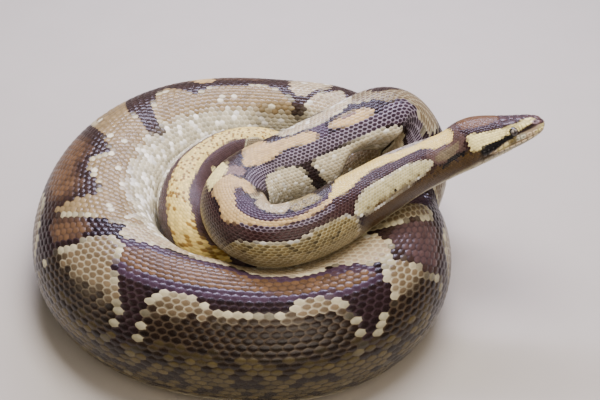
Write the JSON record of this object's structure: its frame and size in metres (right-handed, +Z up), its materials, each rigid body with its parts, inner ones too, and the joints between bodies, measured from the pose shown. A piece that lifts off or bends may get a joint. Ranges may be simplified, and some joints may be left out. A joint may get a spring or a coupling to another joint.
{
  "type": "coiled ball python model",
  "caption": "Life-size coiled ball python lying on the floor, neck looped over the coil and head raised off it; a solid display animal.",
  "frame": {"origin": "on the floor, below the middle of the whole animal's outline", "axes": "+X toward the side the snout points to, +Y toward the back of the coil, +Z up"},
  "size_m": [0.3131, 0.29, 0.1131],
  "materials": {
    "head_skin": "smooth brown head scales, satin",
    "neck_skin": "small cream and brown scales, satin",
    "back_skin": "dark brown and tan scales, satin",
    "flank_skin": "tan and cream scales, satin",
    "eye": "wet dark eye under a clear scale"
  },
  "bodies": {
    "root": {"head": "head_skin", "eye_left": "eye", "eye_right": "eye", "neck_front": "neck_skin", "neck_rear": "neck_skin", "hairpin_bend": "back_skin", "top_stretch": "flank_skin", "right_drop": "back_skin", "coil_front_right": "back_skin", "coil_front_left": "back_skin", "coil_left": "back_skin", "coil_back_left": "back_skin", "coil_back": "back_skin", "inner_coil_right": "back_skin", "inner_coil_left": "back_skin", "hind_body": "flank_skin", "tail": "flank_skin"}
  },
  "joints": []
}
